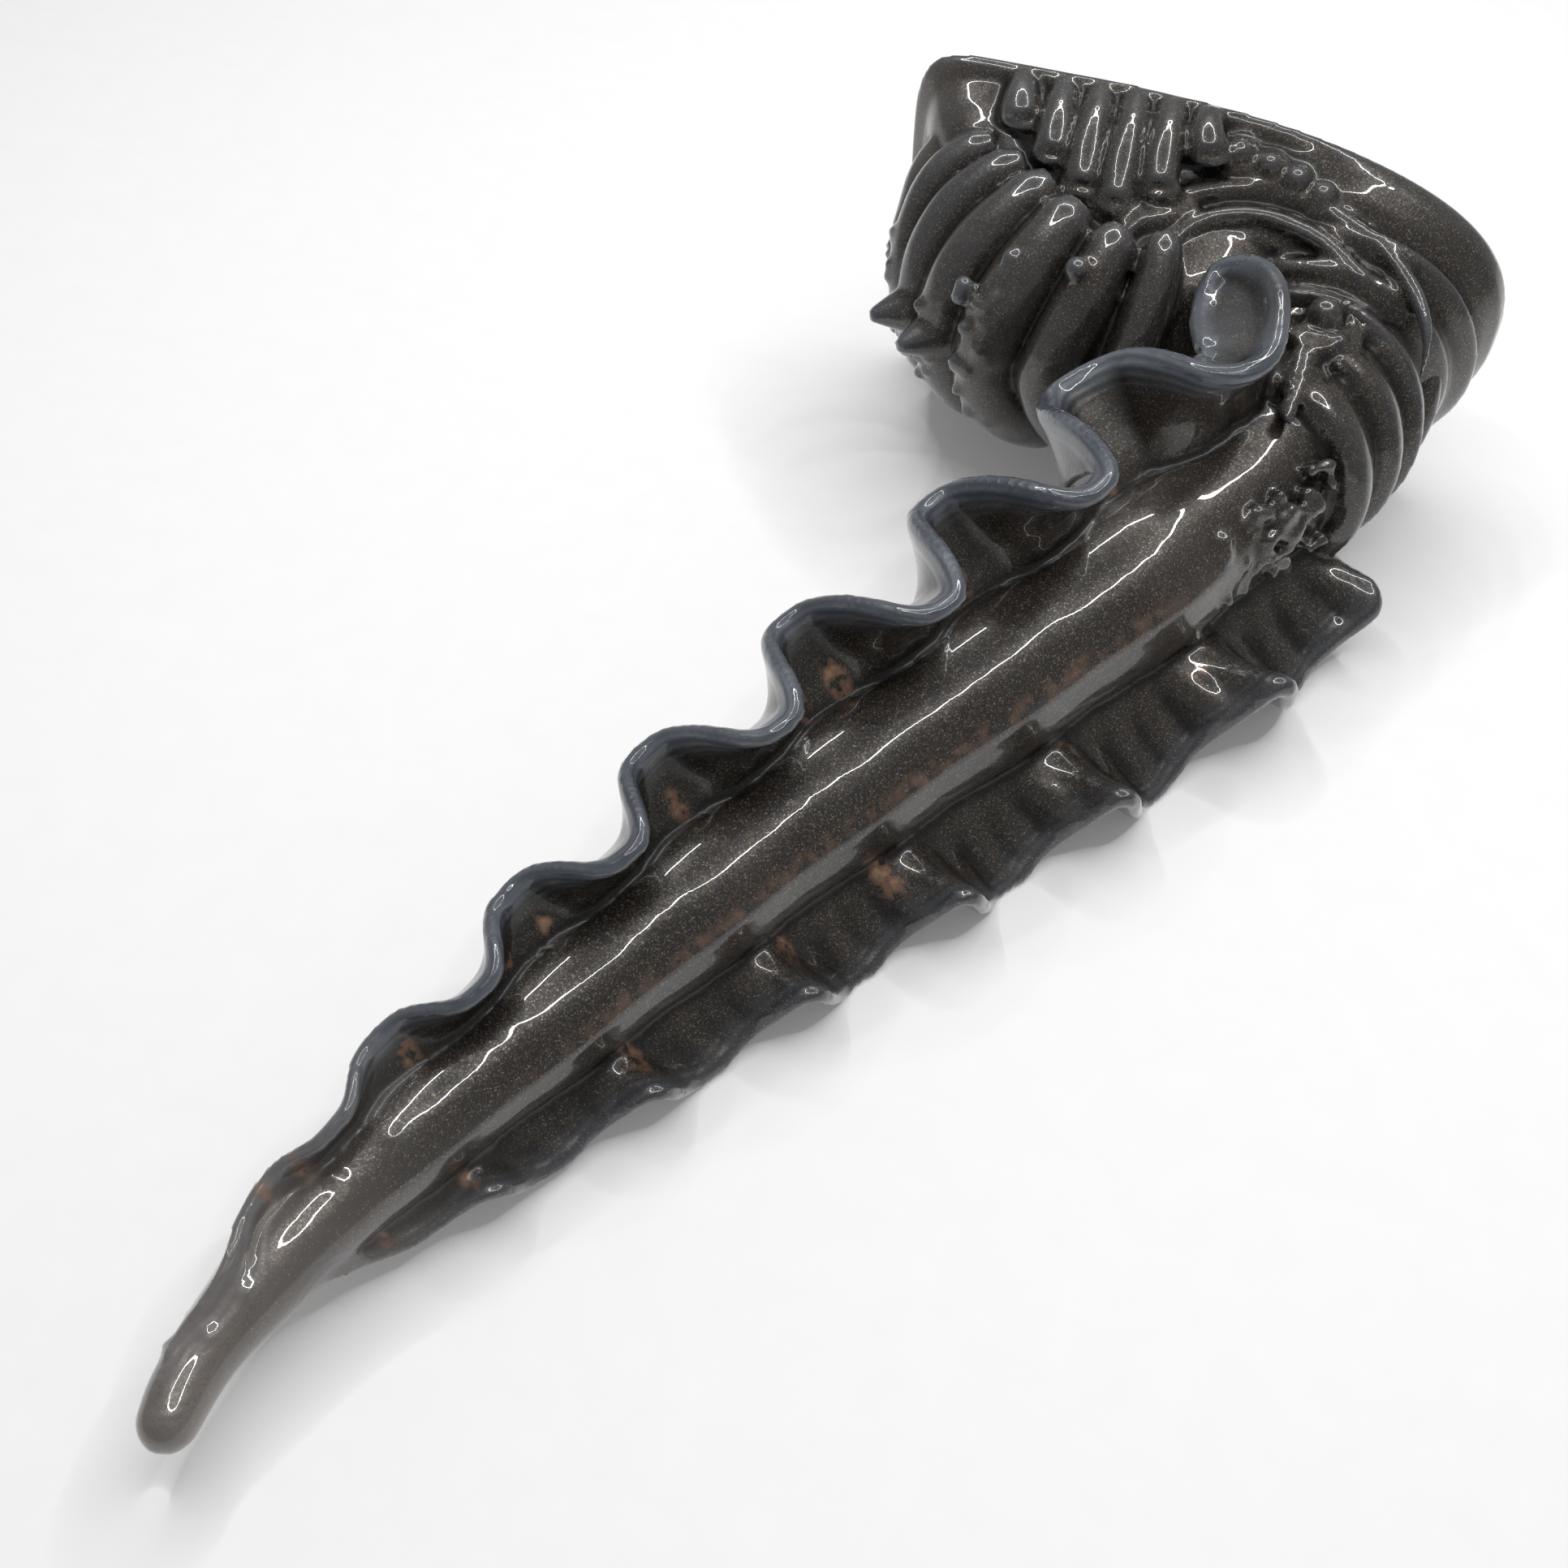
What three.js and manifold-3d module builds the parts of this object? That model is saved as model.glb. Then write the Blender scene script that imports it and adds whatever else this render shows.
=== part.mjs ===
// A soft, one-shot casting shaped as a finned tentacle that curls out of a ribbed, shell-like body
// on a flat foot. It lies on its side, as it rests on a table: the flat foot stands upright and
// faces +Y, and the tentacle runs towards -Y and curls towards -X.
// The real casting has no loose pieces, so each sculpted member is a solid of its own here, a
// hair's breadth from its neighbours.
// Millimetres, +Z up. Until the last step Y = 0 is the foot's flat face and X = 0 the tentacle's root.
import * as THREE from "three";
import { mergeVertices } from "three/addons/utils/BufferGeometryUtils.js";
import Module from "manifold-3d";

const wasm = await Module();
wasm.setup();

// ---- driving dimensions ----
const GAP = 0.3; // clearance between neighbouring solids
const MID_Z = 30.5; // height of the body's plane of symmetry over the table
const FOOT = { left: -82, widest: -60, right: 20.4, half: 30.5, thick: 2.4 }; // an egg-shaped plate
const SKIRT = { depth: 9, inset: 1.2, topInset: 7 }; // flared plinth between the foot and the body
const BODY = { x: -45, halfX: 32, halfZ: 20, depth: 26.5 }; // half-ellipsoid on the skirt
const SHAFT = { root: 13.2, tip: 3.1 }; // radii
const NECK = { start: 17.9, end: 13.4, from: 25, to: 54 }; // radius round the collars, along the line
const FIN = { rim: 31.6, thick: 4.4 }; // radius of the rim round the line
const RIB_RADIUS = 2.9;
const STUD_RADIUS = 2.1;

const rad = THREE.MathUtils.degToRad;
const clamp = THREE.MathUtils.clamp;
const lerp = THREE.MathUtils.lerp;
const vec = (x, y, z) => new THREE.Vector3(x, y, z);

// ---- materials ----
const rubber = (color, roughness) => new THREE.MeshStandardMaterial({ color, roughness, metalness: 0 });
const shaftRubber = rubber(0x2b2422, 0.22);
const footRubber = rubber(0x302b29, 0.3);
const finRubber = rubber(0x2c2a2b, 0.22);
const bodyRubber = rubber(0x262322, 0.28);
const ribRubber = rubber(0x322c29, 0.24);

// ---- solids ----
function solidOf(geometry) {
  const g = geometry.clone();
  g.deleteAttribute("normal");
  g.deleteAttribute("uv");
  const m = mergeVertices(g, 1e-4);
  const vertProperties = m.attributes.position.array;
  const triVerts = new Uint32Array(m.index.array);
  const solid = new wasm.Manifold(new wasm.Mesh({ numProp: 3, vertProperties, triVerts }));
  if (solid.volume() > 0) return solid;
  triVerts.reverse();
  return new wasm.Manifold(new wasm.Mesh({ numProp: 3, vertProperties, triVerts }));
}

// Moves every vertex of a three.js geometry to where shape(vertex) says, and makes it a solid.
function warp(geometry, shape) {
  const p = geometry.attributes.position;
  const v = vec(0, 0, 0);
  for (let i = 0; i < p.count; i++) {
    v.fromBufferAttribute(p, i);
    const w = shape(v);
    p.setXYZ(i, w.x, w.y, w.z);
  }
  return solidOf(geometry);
}

const group = new THREE.Group();

// Only the largest body of a cut solid is kept: the slivers a cut leaves behind are dropped.
function add(name, solid, material) {
  const bodies = solid.decompose().sort((a, b) => b.volume() - a.volume());
  const mesh = bodies[0].getMesh();
  const g = new THREE.BufferGeometry();
  g.setAttribute("position", new THREE.BufferAttribute(new Float32Array(mesh.vertProperties), 3));
  g.setIndex(new THREE.BufferAttribute(new Uint32Array(mesh.triVerts), 1));
  g.computeVertexNormals();
  const made = new THREE.Mesh(g, material);
  made.name = name;
  group.add(made);
}

// ---- the tentacle's centre line ----
const line = new THREE.CatmullRomCurve3([
  vec(-6, -4, 28),
  vec(-7, -18, 26),
  vec(-11, -40, 24),
  vec(-23, -67, 21.5),
  vec(-39, -95, 19),
  vec(-54.5, -122, 17),
  vec(-68.5, -149, 15),
  vec(-80.5, -175, 13.5),
  vec(-89.5, -196, 12.5),
  vec(-94.5, -213, 12),
  vec(-96, -223, 11.5),
  vec(-95, -233, 11.5),
]);
line.arcLengthDivisions = 600;
const LENGTH = line.getLength();

// The point at an angle round the line (0 is the near side, 90 is up), a distance from it,
// s mm along it.
function around(s, degrees, distance) {
  const u = clamp(s / LENGTH, 0, 1);
  const along = line.getTangentAt(u);
  const side = vec(0, 0, 1).cross(along).normalize();
  const up = along.clone().cross(side);
  return line
    .getPointAt(u)
    .addScaledVector(side, distance * Math.cos(rad(degrees)))
    .addScaledVector(up, distance * Math.sin(rad(degrees)));
}

// Number of the fins' wave at s: whole numbers are crests. The waves grow shorter to the tip.
function wave(s) {
  const first = 66;
  const long = 32.5;
  const shorten = 1.15;
  return (long - Math.sqrt(long * long - 4 * shorten * (s - first))) / (2 * shorten);
}
const crest = (s) => Math.cos(2 * Math.PI * wave(s));

function shaftRadius(s) {
  const t = clamp(s / LENGTH, 0, 1);
  const taper = SHAFT.tip + (SHAFT.root - SHAFT.tip) * Math.pow(1 - t * t, 0.9);
  return taper * (1 + 0.02 * crest(s));
}

// Radius of the smooth neck that the collars fill, and of the shaft past it.
function neckRadius(s) {
  const t = clamp((s - NECK.from) / (NECK.to - NECK.from), 0, 1);
  return s < NECK.to ? lerp(NECK.start, NECK.end, t) : shaftRadius(s);
}

// A round section along the line. station(t, angle) places the rings, so an end may lean.
function sweep(rings, sides, station, radius) {
  const tube = new THREE.CylinderGeometry(1, 1, 1, sides, rings);
  return warp(tube, (v) => {
    const angle = THREE.MathUtils.radToDeg(Math.atan2(v.z, v.x));
    const inner = Math.hypot(v.x, v.z);
    const s = station(v.y + 0.5, angle);
    return around(s, angle, inner * radius(s, v.y + 0.5));
  });
}

// ---- neck: overlapping collars, each with a leaning far edge ----
const EDGES = [
  { at: 5, lean: 2 },
  { at: 17, lean: 10 },
  { at: 25, lean: 6 },
  { at: 32, lean: 4 },
  { at: 39.5, lean: 3 },
];
const edgeAt = (k, angle) => EDGES[k].at - EDGES[k].lean * Math.sin(rad(angle));

function collar(k) {
  const station = (t, angle) => lerp(edgeAt(k, angle) + GAP, edgeAt(k + 1, angle) - GAP, t);
  const bulge = (s, t) => neckRadius(s) - 1.5 * (1 - Math.sin(Math.PI * (0.25 + 0.5 * t)));
  return sweep(4, 20, station, bulge);
}

// ---- shaft ----
function shaft() {
  const last = EDGES.length - 1;
  const nose = 3.2; // length of the rounded tip
  const noseFrom = 0.86; // share of the rings that the plain part takes
  const turn = (t) => (clamp((t - noseFrom) / (1 - noseFrom), 0, 1) * Math.PI) / 2;
  const station = (t, angle) => {
    if (t < noseFrom) return lerp(edgeAt(last, angle) + GAP, LENGTH - nose, t / noseFrom);
    return LENGTH - nose * (1 - Math.sin(turn(t)));
  };
  const radius = (s, t) => shaftRadius(s) * Math.max(Math.cos(turn(t)), 0.12);
  return sweep(40, 14, station, radius);
}

// ---- fins ----
const rimRadius = (s) => FIN.rim * Math.pow(1 - Math.pow(s / LENGTH, 2.4), 0.9);

// A ruffled sheet from the line's surface out to the rim, between two stations. bend(s, w) is its
// angle round the line, w running from 0 at the root to 1 at the rim.
function fin({ first, last, bend, lobe, steps }) {
  const sheet = new THREE.BoxGeometry(1, 1, 1, steps, 3, 1);
  return warp(sheet, (v) => {
    const t = v.x + 0.5;
    const w = v.y + 0.5;
    const s = lerp(first, last, t);
    const root = neckRadius(s) + GAP;
    const width = Math.max(rimRadius(s) * lobe(s) - root, 1.2);
    const thick = FIN.thick * (1 - 0.4 * t) * (w > 0.99 ? 0.5 : 1 - 0.2 * w);
    const out = root + w * width;
    const p = around(s, bend(s, w) + THREE.MathUtils.radToDeg((v.z * thick) / out), out);
    p.z = Math.max(p.z, 0);
    return p;
  });
}

// The scroll that ends the upper fin at the root: a short stem with a tilted, rounded face. Its
// outline is an oval of stations along the line and angles round it.
const SCROLL = { at: 38, angle: 107, halfAlong: 15, halfTurn: 24, top: 30.5 };

function scroll(grow) {
  const drum = new THREE.CylinderGeometry(1, 1, 1, 22, 4);
  return warp(drum, (v) => {
    const t = v.y + 0.5;
    const spread = lerp(0.55, 1, Math.pow(t, 1.5));
    const s = SCROLL.at + (SCROLL.halfAlong + grow) * spread * v.x;
    const angle = SCROLL.angle + (SCROLL.halfTurn + 2 * grow) * spread * v.z;
    const face = SCROLL.top - 0.09 * (s - SCROLL.at) + grow;
    return around(s, angle, lerp(8, face, t));
  });
}

// ---- foot, skirt and body ----
// Outline in the plane of the flat face, z measured from the plane of symmetry: an egg, blunt at
// its left end and slender at its right end.
function footOutline(inset) {
  const points = [];
  for (let k = 0; k < 48; k++) {
    const turn = (k / 48) * 2 * Math.PI;
    const c = Math.cos(turn);
    const s = Math.sin(turn);
    const power = c < 0 ? 6.5 : 2.5;
    const reach = (c < 0 ? FOOT.widest - FOOT.left : FOOT.right - FOOT.widest) - inset;
    const x = FOOT.widest + reach * Math.sign(c) * Math.pow(Math.abs(c), 2 / power);
    const z = (FOOT.half - inset) * Math.sign(s) * Math.pow(Math.abs(s), 2 / power);
    points.push(new THREE.Vector2(x, z));
  }
  return new THREE.Shape(points);
}

// Stands an extruded outline up: its plane becomes XZ and its depth runs from y towards -Y.
function standUp(geometry, y) {
  return geometry.rotateX(Math.PI / 2).translate(0, y, MID_Z);
}

function foot() {
  const edge = 0.6;
  const plate = new THREE.ExtrudeGeometry(footOutline(edge), {
    depth: FOOT.thick - 2 * edge,
    bevelThickness: edge,
    bevelSize: edge,
    bevelSegments: 1,
  });
  return solidOf(standUp(plate, -edge));
}

// The plinth narrows with depth; each point moves in towards the outline's widest place.
function skirt(grow) {
  const depth = SKIRT.depth;
  const block = new THREE.ExtrudeGeometry(footOutline(0), {
    depth,
    steps: 3,
    bevelEnabled: false,
  });
  block.rotateX(Math.PI / 2);
  return warp(block, (v) => {
    const t = clamp(-v.y / depth, 0, 1);
    const inset = lerp(SKIRT.inset, SKIRT.topInset, Math.pow(t, 1.4)) - grow;
    const reach = v.x < FOOT.widest ? FOOT.widest - FOOT.left : FOOT.right - FOOT.widest;
    const x = FOOT.widest + (v.x - FOOT.widest) * (1 - inset / reach);
    const y = -FOOT.thick - GAP + grow - (depth + 2 * grow) * t;
    return vec(x, y, MID_Z + v.z * (1 - inset / FOOT.half));
  });
}

const SKIRT_TOP = -(FOOT.thick + GAP + SKIRT.depth);

// Point of the body's surface for a unit direction, pushed out by grow. The body is an ellipsoid
// that turns boxy in plan where it meets the skirt.
function onBody(n, grow) {
  const flat = Math.max(Math.hypot(n.x, n.z), 1e-6);
  const corner = Math.pow(Math.abs(n.x / flat), 3.4) + Math.pow(Math.abs(n.z / flat), 3.4);
  const k = lerp(1, Math.pow(Math.max(corner, 0.5), -1 / 3.4), clamp(1 + n.y, 0, 1));
  const x = BODY.x + (BODY.halfX + grow) * n.x * k;
  const y = SKIRT_TOP - GAP + (BODY.depth + grow) * n.y;
  return vec(x, y, MID_Z + (BODY.halfZ + grow) * n.z * k);
}

function body(grow) {
  const ball = new THREE.SphereGeometry(1, 26, 18);
  const floor = SKIRT_TOP - GAP + grow;
  return warp(ball, (v) => {
    const p = onBody(v, grow);
    p.y = Math.min(p.y, floor);
    return p;
  });
}

// ---- ribs on the body ----
// A round bar along a list of points, tapered to its ends.
function bar(points, radius, sides, segments, taper) {
  const path = new THREE.CatmullRomCurve3(points);
  const tube = new THREE.CylinderGeometry(1, 1, 1, sides, segments);
  const frames = path.computeFrenetFrames(200, false);
  return warp(tube, (v) => {
    const t = v.y + 0.5;
    const k = Math.round(t * 200);
    const end = Math.pow(Math.sin(Math.PI * clamp(t, 0.02, 0.98)), taper);
    return path
      .getPointAt(t)
      .addScaledVector(frames.normals[k], v.x * radius * end)
      .addScaledVector(frames.binormals[k], v.z * radius * end);
  });
}

// Each hoop runs from the seam on one flank, over the keel, to the seam on the other. The seam is
// given as x and y, the place on the keel as an angle.
const HOOPS = [
  { x: -68.5, y: -4.5, keel: 6, radius: 3.4 },
  { x: -66, y: -7.5, keel: 15, radius: 3.5 },
  { x: -61.5, y: -11, keel: 24, radius: 3.7 },
  { x: -57, y: -15, keel: 36, radius: 4, spine: 6 },
  { x: -52.5, y: -18.5, keel: 50, radius: 4.4, spine: 6 },
  { x: -47.5, y: -22, keel: 67, radius: 5, spine: 3 },
  { x: -41, y: -24, keel: 86, radius: 4.5 },
  { x: -35, y: -23, keel: 106, radius: 3.8 },
];
const keelWay = (degrees) => vec(-Math.cos(rad(degrees)), -Math.sin(rad(degrees)), 0);

function hoop({ x, y, keel, radius }, grow) {
  const end = vec((x - BODY.x) / BODY.halfX, (y - SKIRT_TOP + GAP) / BODY.depth, 0);
  end.z = Math.sqrt(Math.max(1 - end.x * end.x - end.y * end.y, 0.05));
  const top = keelWay(keel);
  const points = [];
  for (let k = -6; k <= 6; k++) {
    const t = Math.abs(k) / 6;
    const n = top.clone().lerp(vec(end.x, end.y, Math.sign(k) * end.z), t);
    points.push(onBody(n.normalize(), 2.2 * THREE.MathUtils.smoothstep(t, 0.45, 1) - 0.4));
  }
  return bar(points, radius + grow, 7, 18, 0.3);
}

// Flank ribs stand square to the foot, on the skirt's slope: where each starts, and how low it ends.
const RIBS = [
  { x: -63.3, low: -9.5 },
  { x: -56.6, low: -14.5 },
  { x: -50.7, low: -18.5 },
  { x: -44.8, low: -20 },
  { x: -39, low: -16.5 },
  { x: -33, low: -9.5 },
];

// side is +1 or -1.
function flankRib({ x, low }, side) {
  const z = (h) => MID_Z + side * h;
  const end = lerp(25.4, 20.6, clamp((-low - 9) / 11, 0, 1));
  const points = [
    vec(x, -3.6, z(27.4)),
    vec(x + 0.8, lerp(-3.6, low, 0.5), z(lerp(27, end, 0.4))),
    vec(x + 1.8, low, z(end)),
  ];
  return bar(points, RIB_RADIUS, 7, 6, 0.3);
}

// Studs carry the row of ribs on along the skirt, each given as x and y. The neck covers the
// place of the last one on the right flank.
const STUDS = [
  { x: -26.8, y: -7.5 },
  { x: -21.8, y: -8.3 },
  { x: -17.2, y: -8.6 },
  { x: -12.8, y: -9.6 },
];

// Half the skirt's height at x and y.
function skirtHalf(x, y) {
  const inset = lerp(SKIRT.inset, SKIRT.topInset, Math.pow((-y - FOOT.thick - GAP) / SKIRT.depth, 1.4));
  const full = FOOT.right - FOOT.widest;
  const c = (x - FOOT.widest) / (full - inset);
  return (FOOT.half - inset) * Math.pow(1 - Math.pow(c, 2.5), 1 / 2.5);
}

function ballAt(centre, radius) {
  return warp(new THREE.SphereGeometry(radius, 10, 7), (v) => v.clone().add(centre));
}

// A pointed cone that leaves the keel at a hoop.
function spine({ keel, radius, spine: height }) {
  const way = keelWay(keel);
  const cone = new THREE.ConeGeometry(3.6, height + 3, 9, 1);
  cone.applyQuaternion(new THREE.Quaternion().setFromUnitVectors(vec(0, 1, 0), way));
  const base = onBody(way, radius + height / 2 - 2.4);
  return warp(cone, (v) => v.clone().add(base));
}

// ---- assembly ----
const skirtSolid = skirt(0);
const skirtCutter = skirt(GAP);
const bodyCutter = body(GAP);
const neckCutter = sweep(30, 22, (t) => lerp(0, 130, t), (s) => neckRadius(s) + GAP);
const slab = standUp(new THREE.BoxGeometry(200, 120, 20).translate(-30, 0, -10), 0);
const aboveSkirt = solidOf(slab.clone().translate(0, SKIRT_TOP - GAP, 0));
const aboveFoot = solidOf(slab.clone().translate(0, -FOOT.thick - GAP, 0));

const along = (s) => clamp(s / LENGTH, 0, 1);
const ease = THREE.MathUtils.smoothstep;
const upperMean = (s) => 110 - 6 * ease(s, 60, 95) + 6 * ease(s, 190, 215);
const ruffle = (s) => crest(s) - 0.1 * Math.cos(6 * Math.PI * wave(s));
const upper = fin({
  first: 50,
  last: 238,
  bend: (s, w) => lerp(125, upperMean(s) + lerp(30, 14, along(s - 26)) * ruffle(s), w),
  lobe: () => 1,
  steps: 84,
});
const lower = fin({
  first: 38,
  last: 231,
  bend: (s, w) => lerp(-50, -28, Math.pow(w, 0.55)) - 3 * along(s) + lerp(14, 11, along(s)) * crest(s) * w,
  lobe: (s) => Math.pow(Math.sin(clamp((s - 37) / 8 + 0.45, 0, 1) * (Math.PI / 2)), 0.6),
  steps: 76,
});

add("foot", foot(), footRubber);
add("skirt", skirtSolid, footRubber);
add("shell_body", body(0).subtract(neckCutter), bodyRubber);
for (let k = 0; k < 4; k++) {
  add("collar_" + (k + 1), collar(k).subtract(aboveSkirt), shaftRubber);
}
const swell = sweep(4, 26, (t) => lerp(8, 18, t), (s, t) => lerp(21.5, 18.4, t * t));
add("root_swell", swell.subtract(neckCutter).subtract(bodyCutter).subtract(aboveSkirt), footRubber);
add("tentacle", shaft(), shaftRubber);
const swellCutter = sweep(4, 26, (t) => lerp(6, 18.6, t), (s, t) => lerp(22, 18.8, t * t));
const keepOff = bodyCutter.add(skirtCutter).add(swellCutter);
const scrollCutter = scroll(GAP);
add("fin_upper", upper.subtract(keepOff).subtract(scrollCutter), finRubber);
add("fin_scroll", scroll(0).subtract(keepOff).subtract(neckCutter), finRubber);
add("fin_lower", lower.subtract(keepOff), finRubber);

let taken = keepOff.add(neckCutter).add(upper).add(scrollCutter);
HOOPS.forEach((h, i) => {
  add("hoop_" + (i + 1), hoop(h, 0).subtract(taken).subtract(aboveFoot), ribRubber);
  taken = taken.add(hoop(h, GAP));
});
HOOPS.filter((h) => h.spine).forEach((h, i) => {
  add("spine_" + (i + 1), spine(h).subtract(taken), ribRubber);
});
for (const side of [1, -1]) {
  const flank = side > 0 ? "left_" : "right_";
  RIBS.forEach((r, k) => {
    const rib = flankRib(r, side).subtract(taken).subtract(aboveFoot);
    add(flank + "rib_" + (k + 1), rib, ribRubber);
  });
  STUDS.slice(0, side > 0 ? 4 : 3).forEach((stud, k) => {
    const at = vec(stud.x, stud.y, MID_Z + side * (skirtHalf(stud.x, stud.y) + 0.9));
    add(flank + "stud_" + (k + 1), ballAt(at, STUD_RADIUS).subtract(taken).subtract(aboveFoot), ribRubber);
  });
}

group.updateMatrixWorld(true);
const extent = new THREE.Box3().setFromObject(group);
const middle = extent.getCenter(vec(0, 0, 0));
group.position.set(-middle.x, -middle.y, -extent.min.z);

export default group;
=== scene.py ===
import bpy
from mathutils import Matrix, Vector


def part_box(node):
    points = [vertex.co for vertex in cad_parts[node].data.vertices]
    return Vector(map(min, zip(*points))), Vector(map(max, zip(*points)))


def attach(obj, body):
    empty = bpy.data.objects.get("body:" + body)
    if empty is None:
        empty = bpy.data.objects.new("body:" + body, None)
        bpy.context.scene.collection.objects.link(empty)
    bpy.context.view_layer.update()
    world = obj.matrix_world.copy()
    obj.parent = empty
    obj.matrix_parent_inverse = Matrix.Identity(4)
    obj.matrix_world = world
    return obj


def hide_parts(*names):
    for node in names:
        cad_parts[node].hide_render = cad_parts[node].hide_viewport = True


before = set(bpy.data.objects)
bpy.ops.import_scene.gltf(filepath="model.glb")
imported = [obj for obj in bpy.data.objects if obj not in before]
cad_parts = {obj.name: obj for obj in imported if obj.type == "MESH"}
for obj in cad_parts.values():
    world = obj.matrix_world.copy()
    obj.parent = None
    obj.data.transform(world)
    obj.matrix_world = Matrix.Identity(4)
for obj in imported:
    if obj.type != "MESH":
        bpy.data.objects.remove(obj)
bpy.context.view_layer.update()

import math

import bmesh
import bpy
import numpy as np
from mathutils import Quaternion, Vector, kdtree, noise

# The casting lies on its side on a table. Its flat foot stands upright at the far right, and the
# root of the tentacle springs from the rounded end of the foot. Shapes are drawn in millimetres
# from that root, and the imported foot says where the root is.
foot_low, foot_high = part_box("foot")
FOOT_LEFT = -82.0
ROOT = np.array([foot_low.x * 1000 - FOOT_LEFT, foot_high.y * 1000, foot_low.z * 1000])


def placed(points):
    """Points in millimetres from the root, as metres in the frame."""
    return (np.asarray(points, float) + ROOT) / 1000


# Camera: above the tip's side, looking down along the tentacle at its root.
camera = bpy.data.objects.new("camera", bpy.data.cameras.new("camera"))
bpy.context.scene.collection.objects.link(camera)
bpy.context.scene.camera = camera
AZIMUTH, ELEVATION = math.radians(20), math.radians(50)
level = math.cos(ELEVATION)
look = Vector((-math.sin(AZIMUTH) * level, math.cos(AZIMUTH) * level, -math.sin(ELEVATION)))
camera.location = placed([-2.7, -282.0, 220.0])
camera.rotation_euler = look.to_track_quat("-Z", "Y").to_euler()
camera.data.angle = math.radians(45)
camera.data.clip_start = 0.01

# Centre line of the tentacle. The master was sculpted along a gently bent wire that comes out of
# the foot at its rounded end, drops towards the table and hooks over at the tip.
WIRE = np.array([
    (-6, -4, 28), (-7, -18, 26), (-11, -40, 24), (-23, -67, 21.5), (-39, -95, 19), (-54.5, -122, 17),
    (-68.5, -149, 15), (-80.5, -175, 13.5), (-89.5, -196, 12.5), (-94.5, -213, 12), (-96, -223, 11.5),
    (-95, -233, 11.5),
], float)


def glide(at, stops, rows):
    """Rows of numbers given at stops, read smoothly at any place between them."""
    slope = np.gradient(rows, stops, axis=0)
    k = np.clip(np.searchsorted(stops, at, side="right") - 1, 0, len(rows) - 2)
    h = (stops[k + 1] - stops[k])[:, None]
    t = np.clip((at - stops[k])[:, None] / h, 0, 1)
    return ((2 * t**3 - 3 * t**2 + 1) * rows[k] + (t**3 - 2 * t**2 + t) * h * slope[k]
            + (3 * t**2 - 2 * t**3) * rows[k + 1] + (t**3 - t**2) * h * slope[k + 1])


def smooth_line(points, step=0.5):
    """A smooth curve through points, as samples a step apart, with its length at each sample."""
    chord = np.concatenate([[0], np.cumsum(np.linalg.norm(np.diff(points, axis=0), axis=1))])
    curve = glide(np.arange(0, chord[-1], step / 4), chord, points)
    run = np.concatenate([[0], np.cumsum(np.linalg.norm(np.diff(curve, axis=0), axis=1))])
    even = np.arange(0, run[-1], step)
    return np.stack([np.interp(even, run, curve[:, i]) for i in range(3)], 1), even


LINE, RUN = smooth_line(WIRE)
LENGTH = RUN[-1]
ALONG = np.gradient(LINE, axis=0)
ALONG /= np.linalg.norm(ALONG, axis=1)[:, None]
SIDE = np.cross([0, 0, 1], ALONG)
SIDE /= np.linalg.norm(SIDE, axis=1)[:, None]
UP = np.cross(ALONG, SIDE)


def mix(a, b, t):
    return a + (b - a) * t


def ramp(x, low, high):
    """0 below low, 1 above high, smooth between."""
    t = np.clip((np.asarray(x, float) - low) / (high - low), 0, 1)
    return t * t * (3 - 2 * t)


def around(s, degrees, distance):
    """Points s mm along the line, at an angle round it (0 the near side, 90 up), a distance out."""
    s, degrees, distance = np.broadcast_arrays(np.asarray(s, float), degrees, distance)
    pick = lambda rows: np.stack([np.interp(s, RUN, rows[:, i]) for i in range(3)], -1)
    a = np.radians(degrees)
    over = np.clip(s - LENGTH, 0, None)[..., None]
    return (pick(LINE) + over * ALONG[-1] + pick(SIDE) * (distance * np.cos(a))[..., None]
            + pick(UP) * (distance * np.sin(a))[..., None])


def wave(s):
    """Number of the fins' wave at s. Whole numbers are crests; the waves shorten to the tip."""
    first, long, shorten = 66.0, 31.0, 0.85
    return (long - np.sqrt(long**2 - 4 * shorten * (np.asarray(s, float) - first))) / (2 * shorten)


def tube(sides, rings):
    """A closed drum, 1 mm in radius and 1 long, with its rings ready to be moved."""
    form = bmesh.new()
    bmesh.ops.create_cone(form, cap_ends=True, segments=sides, radius1=1, radius2=1, depth=1)
    walls = [e for e in form.edges if abs(e.verts[0].co.z - e.verts[1].co.z) > 0.5]
    bmesh.ops.subdivide_edges(form, edges=walls, cuts=rings - 1, use_grid_fill=True)
    return form


def shaped(form, move):
    """Moves all of a form's vertices to where move(x, y, z) says, in millimetres."""
    co = np.array([v.co for v in form.verts])
    co = move(co[:, 0], co[:, 1], co[:, 2])
    for v, place in zip(form.verts, co):
        v.co = place
    return form


def swept(sides, rings, station, radius):
    """A closed form round the line: station(t, angle) and radius(s, t, angle) give each ring."""
    def move(x, y, z):
        t = np.clip(z + 0.5, 0, 1)
        angle = np.degrees(np.arctan2(y, x))
        s = station(t, angle)
        return around(s, angle, np.hypot(x, y) * radius(s, t, angle))
    return shaped(tube(sides, rings), move)


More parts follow.
